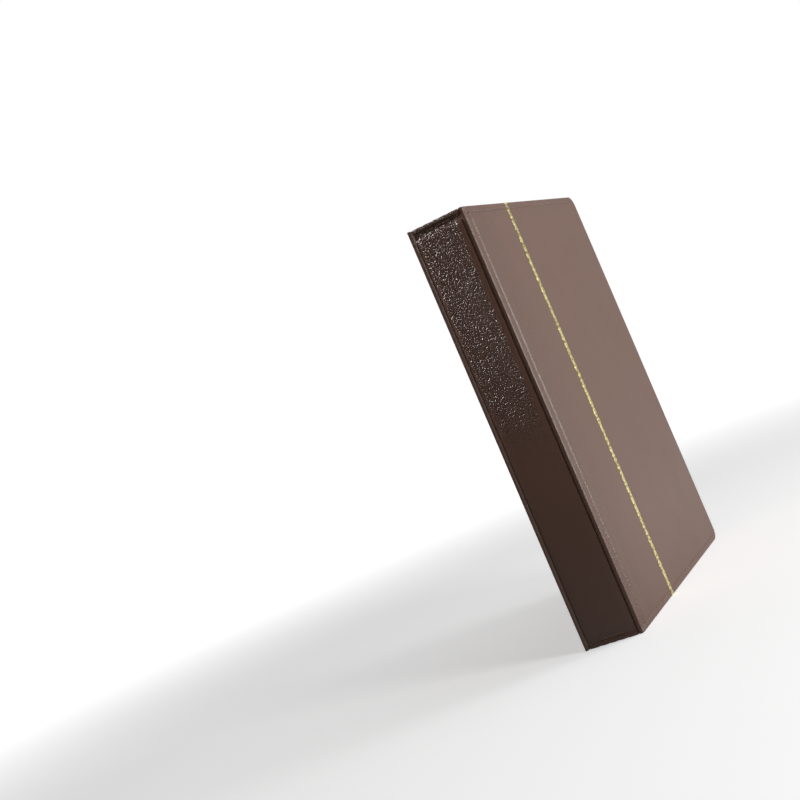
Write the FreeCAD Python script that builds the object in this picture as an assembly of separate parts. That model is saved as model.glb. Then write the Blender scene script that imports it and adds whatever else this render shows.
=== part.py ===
import FreeCAD, Part
import math
import os

# A loose-leaf stamp album: two padded covers and a spine in stitched leatherette, a ring mechanism
# riveted inside the spine, and stock leaves with clear strips that turn on the rings.
# Sizes are millimetres. +Z is up, the spine faces -X and the front cover faces -Y. The origin is
# under the middle of the closed album, on the surface that it stands on.

Vector = FreeCAD.Vector
UP = Vector(0, 0, 1)
ACROSS = Vector(0, 1, 0)
ALONG = Vector(1, 0, 0)
TOLERANCE = 1e-4
OVERCUT = 1.0

# Rings and the wire they are bent from
RING_COUNT = 9
RING_PITCH = 28.0
RING_RADIUS = 11.0
WIRE_RADIUS = 1.2
RING_TIP_GAP = 0.3
RING_SIDE_CLEARANCE = 4.1

# Leaves of black card, with clear strips on both faces
LEAF_COUNT = 6
LEAF_SPACING = 2.0
LEAF_WIDTH = 200.0
LEAF_THICKNESS = 0.8
LEAF_CORNER_RADIUS = 4.0
LEAF_END_MARGIN = 14.0
HOLE_RADIUS = 3.25
HOLE_EDGE_DISTANCE = 7.0
HOLE_BIAS = 0.8
STRIP_COUNT = 5
STRIP_THICKNESS = 0.2
STRIP_GAP = 2.5
STRIP_END_MARGIN = 8.0
STRIP_FORE_MARGIN = 6.0
STRIP_HOLE_MARGIN = 9.0

# How far the covers reach past the leaves
COVER_END_OVERHANG = 14.0
COVER_FORE_OVERHANG = 10.7

# Layers of the covers and the spine, from the outside in
SKIN_THICKNESS = 0.7
PADDING_THICKNESS = 0.6
COVER_BOARD_THICKNESS = 2.2
SPINE_BOARD_THICKNESS = 2.4
LINING_THICKNESS = 0.5
BOARD_FIT = 0.1
BOARD_END_INSET = 7.0
BOARD_CORNER_RADIUS = 3.0
LINING_FIT = 0.2
TURN_IN_WIDTH = 9.0
SPINE_TURN_IN_WIDTH = 5.0
EDGE_RADIUS = 1.2
FORE_CORNER_RADIUS = 8.0
SPINE_CORNER_RADIUS = 1.6

# Hinge valleys between the spine and the rolled edges of the covers
VALLEY_WIDTH = 4.0
HINGE_STRIP_DEPTH = 0.6
HINGE_STRIP_THICKNESS = 2.0
HINGE_GAP = 0.2
HINGE_STRIP_INSET = 0.4

# Hem stitching and the gold line on the front cover
HEM_INSET = 4.0
HEM_TROUGH_WIDTH = 4.0
COVER_HEM_DEPTH = 0.5
SPINE_HEM_DEPTH = 0.9
STITCH_PITCH = 6.0
STITCH_LENGTH = 4.2
THREAD_RADIUS = 0.4
STITCH_FORE_MARGIN = 7.0
STITCH_SPINE_MARGIN = 1.5
GOLD_LINE_OFFSET = 79.9
GOLD_LINE_WIDTH = 2.8
GOLD_FOIL_THICKNESS = 0.1

# Arched plate of the ring mechanism, held off the spine by two posts
SHEET_THICKNESS = 0.8
ARCH_STANDOFF = 1.0
ARCH_HALF_WIDTH = 9.5
ARCH_RISE = 4.8
ARCH_FOOT_HEIGHT = 1.2
ARCH_END_INSET = 9.0
LIP_WIDTH = 3.0
NOTCH_INNER_MARGIN = 0.1
NOTCH_SIDE_CLEARANCE = 0.7

# Toggle plates that carry the half rings
TOGGLE_LIP_OVERLAP = 1.0
TOGGLE_OUTER_REACH = 0.2
TOGGLE_LIP_CLEARANCE = 0.3
TOGGLE_TILT = 4.0
TOGGLE_MIDDLE_GAP = 0.4
TOGGLE_END_GAP = 0.4
RING_FOOT_INSET = 1.8
TONGUE_HALF_WIDTH = 2.5
TONGUE_LENGTH = 3.5

# Posts and rivets
POST_RADIUS = 3.2
POST_CLEARANCE = 0.6
RIVET_RADIUS = 2.0
RIVET_HOLE_FIT = 0.05
RIVET_HEAD_RADIUS = 3.4
RIVET_HEAD_HEIGHT = 1.2
RIVET_TAIL_RADIUS = 4.0
RIVET_TAIL_THICKNESS = 0.7

# End levers and the ears that hold their pins
LEVER_HALF_WIDTH = 3.2
LEVER_BOSS_RADIUS = 1.8
LEVER_PIN_RADIUS = 0.9
LEVER_PIN_FIT = 0.05
LEVER_PIN_END_DISTANCE = 4.0
LEVER_PIN_HEIGHT = 3.0
LEVER_TAB_REACH = 6.5
LEVER_TAB_HEIGHT = 8.5
LEVER_TAB_THICKNESS = 1.6
LEVER_NOSE_LENGTH = 3.2
LEVER_NOSE_CLEARANCE = 0.3
LEVER_NOSE_THICKNESS = 0.8
EAR_GAP = 0.6
EAR_THICKNESS = 0.8
EAR_LENGTH = 4.4

# Sizes that follow from those above
cover_thickness = SKIN_THICKNESS + PADDING_THICKNESS + COVER_BOARD_THICKNESS + LINING_THICKNESS
spine_thickness = SKIN_THICKNESS + SPINE_BOARD_THICKNESS + LINING_THICKNESS
inner_half_space = RING_RADIUS + WIRE_RADIUS + RING_SIDE_CLEARANCE
album_thickness = 2 * (inner_half_space + cover_thickness)
leaf_height = (RING_COUNT - 1) * RING_PITCH + 2 * LEAF_END_MARGIN
album_height = leaf_height + 2 * COVER_END_OVERHANG
middle_height = album_height / 2
arch_shoulder = ARCH_STANDOFF + ARCH_FOOT_HEIGHT
arch_crown = arch_shoulder + ARCH_RISE
arch_outer_radius = (ARCH_HALF_WIDTH**2 + ARCH_RISE**2) / (2 * ARCH_RISE)
lip_edge = ARCH_HALF_WIDTH - LIP_WIDTH
lip_top = ARCH_STANDOFF + SHEET_THICKNESS
toggle_pivot_height = lip_top + TOGGLE_LIP_CLEARANCE + SHEET_THICKNESS / 2
toggle_pivot_offset = lip_edge + TOGGLE_LIP_OVERLAP - TOGGLE_OUTER_REACH
toggle_slope = math.tan(math.radians(TOGGLE_TILT))
toggle_inner_height = toggle_pivot_height - toggle_pivot_offset * toggle_slope
ring_foot_offset = toggle_pivot_offset - RING_FOOT_INSET
ring_foot_height = toggle_pivot_height - RING_FOOT_INSET * toggle_slope + SHEET_THICKNESS / 2
ring_centre_height = ring_foot_height + math.sqrt(RING_RADIUS**2 - ring_foot_offset**2)
leaf_inner_height = ring_centre_height + RING_RADIUS + HOLE_BIAS - HOLE_EDGE_DISTANCE
album_width = spine_thickness + leaf_inner_height + LEAF_WIDTH + COVER_FORE_OVERHANG
spine_x = -album_width / 2
lining_x = spine_x + spine_thickness
ring_centre_x = lining_x + ring_centre_height
knuckle_radius = cover_thickness / 2
hinge_x = spine_x + knuckle_radius
hinge_y = -album_thickness / 2 + knuckle_radius
spine_half_width = album_thickness / 2 - cover_thickness - VALLEY_WIDTH
hem_levels = (HEM_INSET, album_height - HEM_INSET)
arch_length = album_height - 2 * ARCH_END_INSET
lever_pin_height = ARCH_STANDOFF + LEVER_PIN_HEIGHT
lever_pin_reach = arch_length / 2 - LEVER_PIN_END_DISTANCE
lever_nose_top = toggle_inner_height - SHEET_THICKNESS / 2 - LEVER_NOSE_CLEARANCE
ear_inner = LEVER_HALF_WIDTH + EAR_GAP
ear_outer = ear_inner + EAR_THICKNESS
ring_heights = [middle_height + (i - (RING_COUNT - 1) / 2) * RING_PITCH for i in range(RING_COUNT)]
rivet_reach = (RING_COUNT - 2) * RING_PITCH / 2
rivet_heights = [middle_height - rivet_reach, middle_height + rivet_reach]


def block(x0, x1, y0, y1, z0, z1):
    """A box between two corners."""
    return Part.makeBox(x1 - x0, y1 - y0, z1 - z0, Vector(x0, y0, z0))


def rounded_sheet(x0, x1, z0, z1, y0, y1, near_radius, far_radius):
    """A flat sheet in XZ from y0 to y1, with one corner radius at x0 and another at x1 (0 is square)."""
    corners = [(x0, z0, near_radius), (x1, z0, far_radius), (x1, z1, far_radius), (x0, z1, near_radius)]
    starts = [(0, 1), (-1, 0), (0, -1), (1, 0)]
    ends = [(1, 0), (0, 1), (-1, 0), (0, -1)]
    edges = []
    joints = []
    for (x, z, radius), (sx, sz), (ex, ez) in zip(corners, starts, ends):
        first = Vector(x + sx * radius, y0, z + sz * radius)
        last = Vector(x + ex * radius, y0, z + ez * radius)
        if radius > 0:
            lean = radius * (1 - math.sqrt(0.5))
            middle = Vector(x + (sx + ex) * lean, y0, z + (sz + ez) * lean)
            edges.append(Part.Arc(first, middle, last).toShape())
        joints.append((first, last))
    for (_, last), (first, _) in zip(joints, joints[1:] + joints[:1]):
        edges.append(Part.LineSegment(last, first).toShape())
    wire = Part.Wire(Part.__sortEdges__(edges))
    return Part.Face(wire).extrude(Vector(0, y1 - y0, 0))


def lies_at(low, high, level):
    """Whether a stretch from low to high is all at one level."""
    return abs(low - level) < TOLERANCE and abs(high - level) < TOLERANCE


def rim_edges(sheet, thickness):
    """The edges round both faces of a sheet that lies between y = 0 and y = thickness."""
    boxes = [(edge, edge.BoundBox) for edge in sheet.Edges]
    return [edge for edge, box in boxes if any(lies_at(box.YMin, box.YMax, y) for y in (0, thickness))]


def arch_height(offset, depth):
    """Height of the arched plate above the lining at an offset from its middle, below its outer face."""
    radius = arch_outer_radius - depth
    return arch_crown - arch_outer_radius + math.sqrt(radius**2 - offset**2)


def hem_trough(x0, x1, z, depth, seat=0):
    """Rounded trough pressed along a sewn hem in the outer face of a panel, or a seat that much deeper."""
    radius = (HEM_TROUGH_WIDTH**2 / 4 + depth**2) / (2 * depth)
    return Part.makeCylinder(radius + seat, x1 - x0, Vector(x0, depth - radius, z), ALONG)


def hem_stitches(first, last, depth):
    """Stitches on the floor of both hem troughs, from x = first to x = last."""
    count = int((last - first) // STITCH_PITCH)
    start = (first + last - count * STITCH_PITCH) / 2
    stitches = []
    for z in hem_levels:
        trough = hem_trough(first, last, z, depth)
        for i in range(count):
            x = start + (i + 0.5) * STITCH_PITCH - STITCH_LENGTH / 2
            thread = Part.makeCylinder(THREAD_RADIUS, STITCH_LENGTH, Vector(x, depth, z), ALONG)
            stitches.append(thread.common(trough))
    return Part.makeCompound(stitches)


def panel_layers(envelope, x0, x1, radii, board_thickness, padding_thickness, window_sides):
    """Skin, padding, board and lining of a panel whose outer face is at y = 0.

    The cavity for the board runs from x0 to x1. The lining lies between window_sides, inside the fold.
    """
    near_radius, far_radius = radii
    outer = SKIN_THICKNESS
    inner = SKIN_THICKNESS + padding_thickness + board_thickness
    bottom, top = BOARD_END_INSET, album_height - BOARD_END_INSET
    cavity = rounded_sheet(x0, x1, bottom, top, outer, inner, near_radius, far_radius)
    left, right = window_sides
    low, high = TURN_IN_WIDTH, album_height - TURN_IN_WIDTH
    opening = block(left, right, inner, inner + LINING_THICKNESS + OVERCUT, low, high)
    skin = envelope.cut([cavity, opening])

    def filling(y0, y1):
        ends = (bottom + BOARD_FIT, top - BOARD_FIT)
        return rounded_sheet(x0, x1 - BOARD_FIT, *ends, y0, y1, near_radius, far_radius)

    lining = block(
        left + LINING_FIT,
        right - LINING_FIT,
        inner,
        inner + LINING_THICKNESS,
        low + LINING_FIT,
        high - LINING_FIT,
    )
    layers = {"skin": skin, "board": filling(outer + padding_thickness, inner), "lining": lining}
    if padding_thickness > 0:
        layers["padding"] = filling(outer, outer + padding_thickness)
    return layers


def cover_panel():
    """One cover in its own frame: the rolled hinge edge at x = 0, the outer face at y = 0."""
    axis_x = knuckle_radius
    sheet = rounded_sheet(axis_x, album_width, 0, album_height, 0, cover_thickness, 0, FORE_CORNER_RADIUS)
    rim = rim_edges(sheet, cover_thickness)
    rim = [edge for edge in rim if not lies_at(edge.BoundBox.XMin, edge.BoundBox.XMax, axis_x)]
    sheet = sheet.makeFillet(EDGE_RADIUS, rim)
    roll = Part.makeCylinder(knuckle_radius, album_height, Vector(axis_x, knuckle_radius, 0), UP)
    roll = roll.makeFillet(EDGE_RADIUS, [e for e in roll.Edges if isinstance(e.Curve, Part.Circle)])
    half_roll = roll.cut(block(axis_x, album_width, -OVERCUT, album_width, -OVERCUT, album_height + OVERCUT))
    envelope = sheet.fuse(half_roll).removeSplitter()
    radii = (0, BOARD_CORNER_RADIUS)
    far_x = album_width - SKIN_THICKNESS
    sides = (TURN_IN_WIDTH, album_width - TURN_IN_WIDTH)
    layers = panel_layers(envelope, axis_x, far_x, radii, COVER_BOARD_THICKNESS, PADDING_THICKNESS, sides)
    first, last = axis_x, album_width - STITCH_FORE_MARGIN
    troughs = [hem_trough(first, last, z, COVER_HEM_DEPTH) for z in hem_levels]
    layers["skin"] = layers["skin"].cut(troughs)
    layers["stitching"] = hem_stitches(first, last, COVER_HEM_DEPTH)
    return layers


def spine_panel():
    """The spine in its own frame: its width along x about x = 0, the outer face at y = 0."""
    half = spine_half_width
    corners = (SPINE_CORNER_RADIUS, SPINE_CORNER_RADIUS)
    sheet = rounded_sheet(-half, half, 0, album_height, 0, spine_thickness, *corners)
    envelope = sheet.makeFillet(EDGE_RADIUS, rim_edges(sheet, spine_thickness))
    inner_half = half - SKIN_THICKNESS
    radius = SPINE_CORNER_RADIUS - SKIN_THICKNESS
    radii = (radius, radius)
    sides = (SPINE_TURN_IN_WIDTH - half, half - SPINE_TURN_IN_WIDTH)
    layers = panel_layers(envelope, -inner_half, inner_half, radii, SPINE_BOARD_THICKNESS, 0, sides)
    reach = half - STITCH_SPINE_MARGIN
    troughs = [hem_trough(-half - OVERCUT, half + OVERCUT, z, SPINE_HEM_DEPTH) for z in hem_levels]
    layers["skin"] = layers["skin"].cut(troughs)
    layers["stitching"] = hem_stitches(-reach, reach, SPINE_HEM_DEPTH)
    return layers


def gold_line():
    """Foil line down the front cover and through both hem troughs, in the cover's own frame."""
    x0 = GOLD_LINE_OFFSET - GOLD_LINE_WIDTH / 2
    x1 = GOLD_LINE_OFFSET + GOLD_LINE_WIDTH / 2
    z0, z1 = EDGE_RADIUS, album_height - EDGE_RADIUS
    troughs = [hem_trough(x0, x1, z, COVER_HEM_DEPTH) for z in hem_levels]
    seats = [hem_trough(x0, x1, z, COVER_HEM_DEPTH, GOLD_FOIL_THICKNESS) for z in hem_levels]
    under_face = block(x0, x1, 0, COVER_HEM_DEPTH + GOLD_FOIL_THICKNESS, z0, z1)
    foil = block(x0, x1, 0, GOLD_FOIL_THICKNESS, z0, z1).fuse(seats).cut(troughs)
    return foil.common(under_face).removeSplitter()


def rivet_holes(shape):
    """Cuts the two rivet holes through a piece of the spine or the mechanism."""
    radius = RIVET_RADIUS + RIVET_HOLE_FIT
    reach = ring_centre_height + spine_thickness
    holes = [Part.makeCylinder(radius, reach, Vector(spine_x, 0, z), ALONG) for z in rivet_heights]
    return shape.cut(holes)


def rivet_tail_seats(board):
    """Sinks the rivet tails into the outside of the spine board."""
    depth = RIVET_TAIL_THICKNESS
    radius = RIVET_TAIL_RADIUS + RIVET_HOLE_FIT
    start = spine_x + SKIN_THICKNESS
    seats = [Part.makeCylinder(radius, depth, Vector(start, 0, z), ALONG) for z in rivet_heights]
    return board.cut(seats)


def hinge_strip():
    """Leatherette web in the valley between the spine and the front cover's rolled edge."""
    x0 = spine_x + HINGE_STRIP_DEPTH
    y0 = hinge_y + knuckle_radius + HINGE_GAP
    z0, z1 = HINGE_STRIP_INSET, album_height - HINGE_STRIP_INSET
    return block(x0, x0 + HINGE_STRIP_THICKNESS, y0, -spine_half_width, z0, z1)


def arch_section():
    """Cross-section of the arched plate, with lips turned in under the toggle plates."""
    inner_radius = arch_outer_radius - SHEET_THICKNESS
    wall = math.sqrt(inner_radius**2 - (lip_top - arch_crown + arch_outer_radius) ** 2)
    half = ARCH_HALF_WIDTH
    z = middle_height - arch_length / 2

    def point(height, y):
        return Vector(lining_x + height, y, z)

    outside = Part.Arc(point(arch_shoulder, -half), point(arch_crown, 0), point(arch_shoulder, half))
    inside = Part.Arc(point(lip_top, wall), point(arch_crown - SHEET_THICKNESS, 0), point(lip_top, -wall))
    edges = [outside.toShape(), inside.toShape()]
    foot = ARCH_STANDOFF
    right = [(arch_shoulder, half), (foot, half), (foot, lip_edge), (lip_top, lip_edge), (lip_top, wall)]
    left = [(height, -y) for height, y in right]
    for side in (right, left):
        for first, last in zip(side, side[1:]):
            edges.append(Part.LineSegment(point(*first), point(*last)).toShape())
    return Part.Face(Part.Wire(Part.__sortEdges__(edges)))


def ring_notches():
    """Tools that cut a notch in the arched plate for each half ring."""
    half = WIRE_RADIUS + NOTCH_SIDE_CLEARANCE
    inner = ring_foot_offset - NOTCH_INNER_MARGIN
    outer = ARCH_HALF_WIDTH + OVERCUT
    floor = lining_x + lip_top + TOGGLE_LIP_CLEARANCE
    roof = lining_x + arch_crown + OVERCUT
    sides = ((-outer, -inner), (inner, outer))
    return [block(floor, roof, y0, y1, z - half, z + half) for z in ring_heights for y0, y1 in sides]


def lever_slot(end):
    """Tool that opens the crown of the arched plate over one lever."""
    half = LEVER_HALF_WIDTH + EAR_GAP / 2
    z_end = middle_height + end * (arch_length / 2 + OVERCUT)
    z_stop = middle_height + end * (lever_pin_reach - LEVER_PIN_END_DISTANCE)
    roof = lining_x + arch_crown + OVERCUT
    return block(lining_x + lip_top, roof, -half, half, min(z_end, z_stop), max(z_end, z_stop))


def lever_ears(end):
    """The two ears under the arched plate that hold a lever's pin."""
    z = middle_height + end * lever_pin_reach
    z0, z1 = z - EAR_LENGTH / 2, z + EAR_LENGTH / 2
    foot = lining_x + lever_pin_height - LEVER_BOSS_RADIUS
    top = lining_x + arch_height(ear_outer, SHEET_THICKNESS / 2)
    return [block(foot, top, y, y + EAR_THICKNESS, z0, z1) for y in (-ear_outer, ear_inner)]


def arch_plate():
    """Arched plate with notches for the rings, slots and ears for the levers, and rivet holes."""
    plate = arch_section().extrude(Vector(0, 0, arch_length))
    plate = plate.cut(ring_notches() + [lever_slot(-1), lever_slot(1)])
    plate = plate.fuse(lever_ears(-1) + lever_ears(1)).removeSplitter()
    return rivet_holes(plate.cut([lever_pin(-1), lever_pin(1)]))


def lever_pin(end):
    """Pin of the lever at the top (end = 1) or the bottom (end = -1) of the mechanism."""
    start = Vector(lining_x + lever_pin_height, -ear_outer, middle_height + end * lever_pin_reach)
    return Part.makeCylinder(LEVER_PIN_RADIUS, 2 * ear_outer, start, ACROSS)


def lever(end):
    """Thumb lever: a boss on the pin, a tab that leans out of the end, a nose under the toggle plates."""
    pivot_x = lining_x + lever_pin_height
    pivot_z = middle_height + end * lever_pin_reach
    half = LEVER_HALF_WIDTH

    def plate(points):
        corners = [Vector(pivot_x + up, -half, pivot_z + end * out) for up, out in points]
        return Part.Face(Part.makePolygon(corners + corners[:1])).extrude(Vector(0, 2 * half, 0))

    slope = math.hypot(LEVER_TAB_REACH, LEVER_TAB_HEIGHT)
    side_up = LEVER_TAB_REACH / slope * LEVER_TAB_THICKNESS / 2
    side_out = LEVER_TAB_HEIGHT / slope * LEVER_TAB_THICKNESS / 2
    top, out = LEVER_TAB_HEIGHT, LEVER_TAB_REACH
    tab = plate([
        (side_up, -side_out),
        (top + side_up, out - side_out),
        (top - side_up, out + side_out),
        (-side_up, side_out),
    ])
    roof = lever_nose_top - lever_pin_height
    floor = roof - LEVER_NOSE_THICKNESS
    shank = LEVER_BOSS_RADIUS / 2
    tip = LEVER_NOSE_LENGTH
    nose = plate([(0, -shank), (roof, -shank), (roof, -tip), (floor, -tip), (floor, shank), (0, shank)])
    start = Vector(pivot_x, -half, pivot_z)
    boss = Part.makeCylinder(LEVER_BOSS_RADIUS, 2 * half, start, ACROSS)
    bore = Part.makeCylinder(LEVER_PIN_RADIUS + LEVER_PIN_FIT, 2 * half, start, ACROSS)
    return boss.fuse([tab, nose]).cut(bore).removeSplitter()


def tilted(shape, side):
    """Tilts a toggle-plate shape about its pivot edge, to where the closed rings hold it."""
    pivot = Vector(lining_x + toggle_pivot_height, side * toggle_pivot_offset, 0)
    turned = shape.copy()
    turned.rotate(pivot, UP, side * TOGGLE_TILT)
    return turned


def toggle_plate(side):
    """Toggle plate on the front (side = -1) or the back (side = 1), with a tongue at each end."""
    x0 = lining_x + toggle_pivot_height - SHEET_THICKNESS / 2
    x1 = x0 + SHEET_THICKNESS
    tongue_end = lever_pin_reach - LEVER_BOSS_RADIUS - TOGGLE_END_GAP
    body_end = tongue_end - TONGUE_LENGTH
    outer = side * (toggle_pivot_offset + TOGGLE_OUTER_REACH)
    inner = side * TOGGLE_MIDDLE_GAP / 2
    tongue = side * TONGUE_HALF_WIDTH

    def span(y0, y1, reach):
        return block(x0, x1, min(y0, y1), max(y0, y1), middle_height - reach, middle_height + reach)

    plate = tilted(span(inner, outer, body_end).fuse(span(inner, tongue, tongue_end)).removeSplitter(), side)
    radius = POST_RADIUS + POST_CLEARANCE
    starts = [Vector(lining_x, 0, z) for z in rivet_heights]
    return plate.cut([Part.makeCylinder(radius, ring_centre_height, start, ALONG) for start in starts])


def half_rings(side):
    """The half rings on one toggle plate: round wire from the tip down to the top of the plate."""
    tip_angle = math.degrees(math.asin(RING_TIP_GAP / 2 / RING_RADIUS))
    foot_angle = 180 - math.degrees(math.asin(ring_foot_offset / RING_RADIUS)) / 2
    plate_top = lining_x + toggle_pivot_height + SHEET_THICKNESS / 2
    reach = RING_RADIUS + WIRE_RADIUS
    below = block(lining_x - reach, plate_top, -reach, reach, 0, album_height)
    below = tilted(below, side)
    halves = []
    for z in ring_heights:
        centre = Vector(ring_centre_x, 0, z)
        wire = Part.makeTorus(RING_RADIUS, WIRE_RADIUS, centre, UP, 0, 360, foot_angle - tip_angle)
        wire.rotate(centre, UP, tip_angle if side > 0 else -foot_angle)
        halves.append(wire.cut(below))
    return Part.makeCompound([solid for half in halves for solid in half.Solids])


def posts():
    """Sleeves that hold the arched plate off the spine."""
    height = arch_height(POST_RADIUS, SHEET_THICKNESS)
    sleeves = [Part.makeCylinder(POST_RADIUS, height, Vector(lining_x, 0, z), ALONG) for z in rivet_heights]
    return rivet_holes(Part.makeCompound(sleeves))


def rivets():
    """Rivets from the crown of the arched plate to tails sunk in the spine board."""
    head_x = lining_x + arch_crown
    tail_x = spine_x + SKIN_THICKNESS
    dome_radius = (RIVET_HEAD_RADIUS**2 + RIVET_HEAD_HEIGHT**2) / (2 * RIVET_HEAD_HEIGHT)
    solids = []
    for z in rivet_heights:
        shank = Part.makeCylinder(RIVET_RADIUS, head_x - tail_x, Vector(tail_x, 0, z), ALONG)
        tail = Part.makeCylinder(RIVET_TAIL_RADIUS, RIVET_TAIL_THICKNESS, Vector(tail_x, 0, z), ALONG)
        ball = Part.makeSphere(dome_radius, Vector(head_x + RIVET_HEAD_HEIGHT - dome_radius, 0, z))
        reach = 2 * dome_radius
        head = ball.common(block(head_x, head_x + reach, -reach, reach, z - reach, z + reach))
        solids.append(shank.fuse([tail, head]).removeSplitter())
    return Part.makeCompound(solids)


def leaf(number):
    """One stock leaf, counted from the front: the punched card and the clear strips on both faces."""
    y = (number - (LEAF_COUNT + 1) / 2) * LEAF_SPACING
    hole_x = ring_centre_x + math.sqrt(RING_RADIUS**2 - y**2) + HOLE_BIAS
    x0 = hole_x - HOLE_EDGE_DISTANCE
    x1 = x0 + LEAF_WIDTH
    z0, z1 = COVER_END_OVERHANG, COVER_END_OVERHANG + leaf_height
    half = LEAF_THICKNESS / 2
    card = rounded_sheet(x0, x1, z0, z1, y - half, y + half, LEAF_CORNER_RADIUS, LEAF_CORNER_RADIUS)
    starts = [Vector(hole_x, y - half - OVERCUT, z) for z in ring_heights]
    depth = LEAF_THICKNESS + 2 * OVERCUT
    card = card.cut([Part.makeCylinder(HOLE_RADIUS, depth, start, ACROSS) for start in starts])
    pitch = (leaf_height - 2 * STRIP_END_MARGIN) / STRIP_COUNT
    strip_x0 = hole_x + STRIP_HOLE_MARGIN
    strip_x1 = x1 - STRIP_FORE_MARGIN
    strips = []
    for row in range(STRIP_COUNT):
        low = z0 + STRIP_END_MARGIN + row * pitch + STRIP_GAP / 2
        high = low + pitch - STRIP_GAP
        for near in (y - half - STRIP_THICKNESS, y + half):
            strips.append(block(strip_x0, strip_x1, near, near + STRIP_THICKNESS, low, high))
    return card, Part.makeCompound(strips)


def place_front(shape):
    """Moves a cover piece from its own frame to the front of the album."""
    moved = shape.copy()
    moved.translate(Vector(spine_x, -album_thickness / 2, 0))
    return moved


def place_back(shape):
    """Mirrors a front cover piece to the back of the album."""
    return place_front(shape).mirror(Vector(0, 0, 0), ACROSS)


def place_spine(shape):
    """Turns a spine piece from its own frame to the spine of the album."""
    moved = shape.copy()
    moved.rotate(Vector(0, 0, 0), UP, -90)
    moved.translate(Vector(spine_x, 0, 0))
    return moved


def build_parts():
    """Every piece of the album, by its node name."""
    parts = {}
    cover = cover_panel()
    foil = gold_line()
    for layer, shape in cover.items():
        front = shape.cut(foil) if layer == "skin" else shape
        parts["front_cover_" + layer] = place_front(front)
        parts["back_cover_" + layer] = place_back(shape)
    parts["front_cover_gold_line"] = place_front(foil)
    for layer, shape in spine_panel().items():
        parts["spine_" + layer] = place_spine(shape)
    parts["spine_board"] = rivet_tail_seats(rivet_holes(parts["spine_board"]))
    parts["spine_lining"] = rivet_holes(parts["spine_lining"])
    parts["front_hinge_strip"] = hinge_strip()
    parts["back_hinge_strip"] = hinge_strip().mirror(Vector(0, 0, 0), ACROSS)
    parts["ring_arch_plate"] = arch_plate()
    parts["ring_posts"] = posts()
    parts["ring_rivets"] = rivets()
    parts["lever_pins"] = Part.makeCompound([lever_pin(-1), lever_pin(1)])
    for name, side in (("front", -1), ("back", 1)):
        parts[name + "_toggle_plate"] = toggle_plate(side)
        parts[name + "_half_rings"] = half_rings(side)
    for name, end in (("bottom", -1), ("top", 1)):
        parts[name + "_lever"] = lever(end)
    for number in range(1, LEAF_COUNT + 1):
        card, strips = leaf(number)
        parts["leaf_%d_card" % number] = card
        parts["leaf_%d_strips" % number] = strips
    return parts


def main():
    """Builds the album and writes one file per piece."""
    os.makedirs("parts", exist_ok=True)
    print("album %.1f wide, %.1f thick, %.1f high" % (album_width, album_thickness, album_height))
    for name, shape in build_parts().items():
        print(name, len(shape.Solids), "solids", round(shape.Volume, 1), "mm3", shape.isValid())
        shape.exportStep("parts/%s.step" % name)


main()
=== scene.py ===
import logging
import math
from dataclasses import dataclass
from enum import Enum
from typing import Sequence

import bmesh
import bpy
from bmesh.types import BMesh, BMVert
from bpy.types import Material, Node, NodeSocket, NodeTree, Object
from mathutils import Matrix, Vector, noise


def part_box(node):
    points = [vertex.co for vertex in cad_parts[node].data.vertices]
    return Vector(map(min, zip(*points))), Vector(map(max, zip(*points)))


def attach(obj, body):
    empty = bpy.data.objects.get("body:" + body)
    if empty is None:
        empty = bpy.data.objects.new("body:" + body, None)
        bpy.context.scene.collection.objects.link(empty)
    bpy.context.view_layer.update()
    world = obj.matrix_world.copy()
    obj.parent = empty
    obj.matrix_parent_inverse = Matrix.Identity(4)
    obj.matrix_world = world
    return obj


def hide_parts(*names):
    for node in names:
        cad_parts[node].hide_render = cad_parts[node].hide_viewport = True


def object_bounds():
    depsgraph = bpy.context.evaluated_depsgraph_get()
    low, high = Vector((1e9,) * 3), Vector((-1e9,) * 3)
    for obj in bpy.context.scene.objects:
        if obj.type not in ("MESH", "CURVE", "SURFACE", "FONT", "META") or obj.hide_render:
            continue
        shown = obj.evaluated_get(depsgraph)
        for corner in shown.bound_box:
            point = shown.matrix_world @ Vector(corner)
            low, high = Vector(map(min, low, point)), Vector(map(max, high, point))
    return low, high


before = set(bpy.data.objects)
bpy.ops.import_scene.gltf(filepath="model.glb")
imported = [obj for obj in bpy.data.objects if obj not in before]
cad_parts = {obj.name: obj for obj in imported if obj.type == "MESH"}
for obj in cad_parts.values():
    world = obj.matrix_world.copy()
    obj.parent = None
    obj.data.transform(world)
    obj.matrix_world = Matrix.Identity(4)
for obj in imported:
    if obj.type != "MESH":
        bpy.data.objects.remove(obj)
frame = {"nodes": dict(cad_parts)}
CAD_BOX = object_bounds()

# Looks of a loose-leaf stamp album: leatherette skins sewn round boards, a pressed gold line, a
# nickel-plated ring mechanism and black stock leaves. Lengths are metres in the frame of the packed
# model: the spine faces -X, the front cover faces -Y and +Z is up.

LOG = logging.getLogger("stamp_album")
MM = 0.001
WELD_DISTANCE = 0.0005 * MM
SHARP_ANGLE = math.radians(50)
HEM_INSET = 4.0 * MM
STITCH_GAP = 1.8 * MM
LEAF_COUNT = 6
WHITE = (1.0, 1.0, 1.0, 1.0)


class Panel(Enum):
    """The three stiff panels of the case, each named as its CAD nodes are."""

    FRONT = "front_cover"
    BACK = "back_cover"
    SPINE = "spine"


# Each cover's edge beside the spine: how far the skin draws it in, the width and depth of its outer
# round, and the radius of its inner round.
EDGE_SETBACK = {Panel.FRONT: 1.2 * MM, Panel.BACK: 0.0}
OUTER_ROUND = {Panel.FRONT: (5.0 * MM, 1.0 * MM), Panel.BACK: (5.0 * MM, 0.9 * MM)}
INNER_ROUND = {Panel.FRONT: 0.9 * MM, Panel.BACK: 2.9 * MM}


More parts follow.
